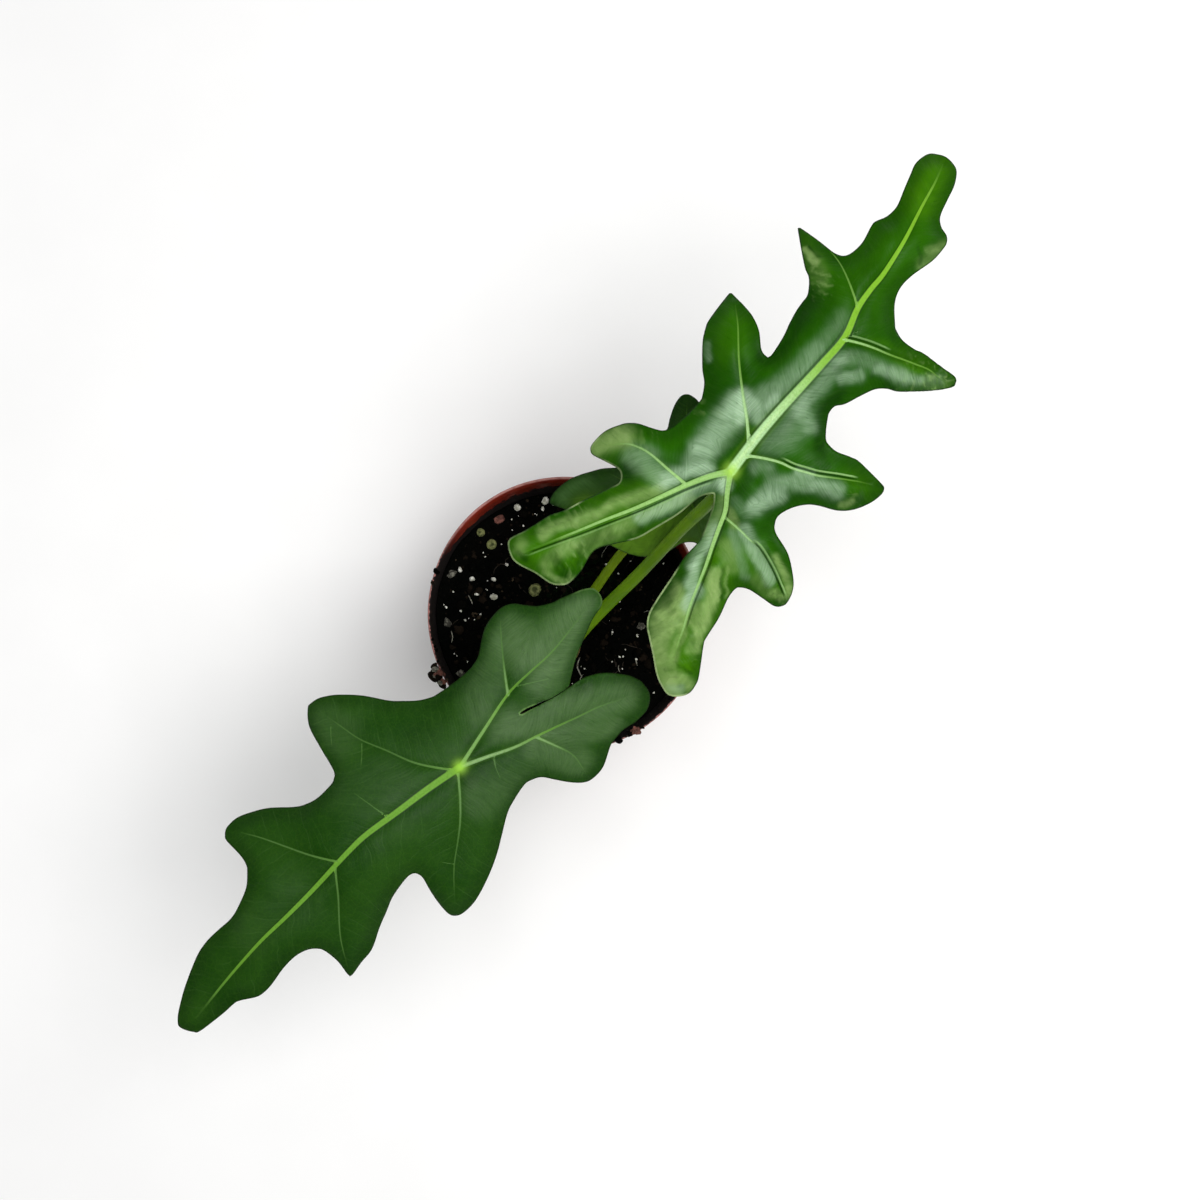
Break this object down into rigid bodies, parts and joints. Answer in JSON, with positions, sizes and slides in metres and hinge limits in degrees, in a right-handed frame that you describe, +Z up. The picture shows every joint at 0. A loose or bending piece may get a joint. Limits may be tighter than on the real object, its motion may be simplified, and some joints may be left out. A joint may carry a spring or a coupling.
{
  "type": "potted alocasia portei",
  "caption": "Young aroid house plant with deeply lobed arrow-shaped leaves on slender stalks, growing from peaty soil in a plain round nursery pot.",
  "frame": {"origin": "centre of the pot's flat underside", "axes": "+Z up along the pot's axis, +X towards the side that the upper leaf leans to, +Y towards its tip, so that the leaves lie along the diagonal from -X-Y to +X+Y"},
  "size_m": [0.2615, 0.2947, 0.2056],
  "materials": {
    "pot_plastic": "satin moulded plastic, red-brown",
    "potting_mix": "moist near-black peat and bark",
    "leaf_upper": "glossy fresh green leaf",
    "leaf_front": "satin deep green leaf",
    "leaf_lower": "satin dark green leaf",
    "stalk": "smooth olive-green stalk",
    "clay_granule": "matt yellowish granule",
    "perlite": "matt white expanded mineral",
    "pumice": "matt grey porous stone",
    "bark": "matt reddish bark"
  },
  "bodies": {
    "root": {"pot": "pot_plastic", "soil": "potting_mix", "stem_base": "stalk", "upper_leaf_petiole": "stalk", "upper_leaf_blade": "leaf_upper", "front_leaf_petiole": "stalk", "front_leaf_blade": "leaf_front", "lower_leaf_petiole": "stalk", "lower_leaf_blade": "leaf_lower", "granule_1": "clay_granule", "granule_2": "clay_granule", "granule_3": "clay_granule", "perlite_1": "perlite", "perlite_2": "perlite", "perlite_3": "perlite", "pumice_1": "pumice", "pumice_2": "pumice", "pumice_3": "pumice", "pumice_4": "pumice", "bark_chip": "bark"}
  },
  "joints": []
}
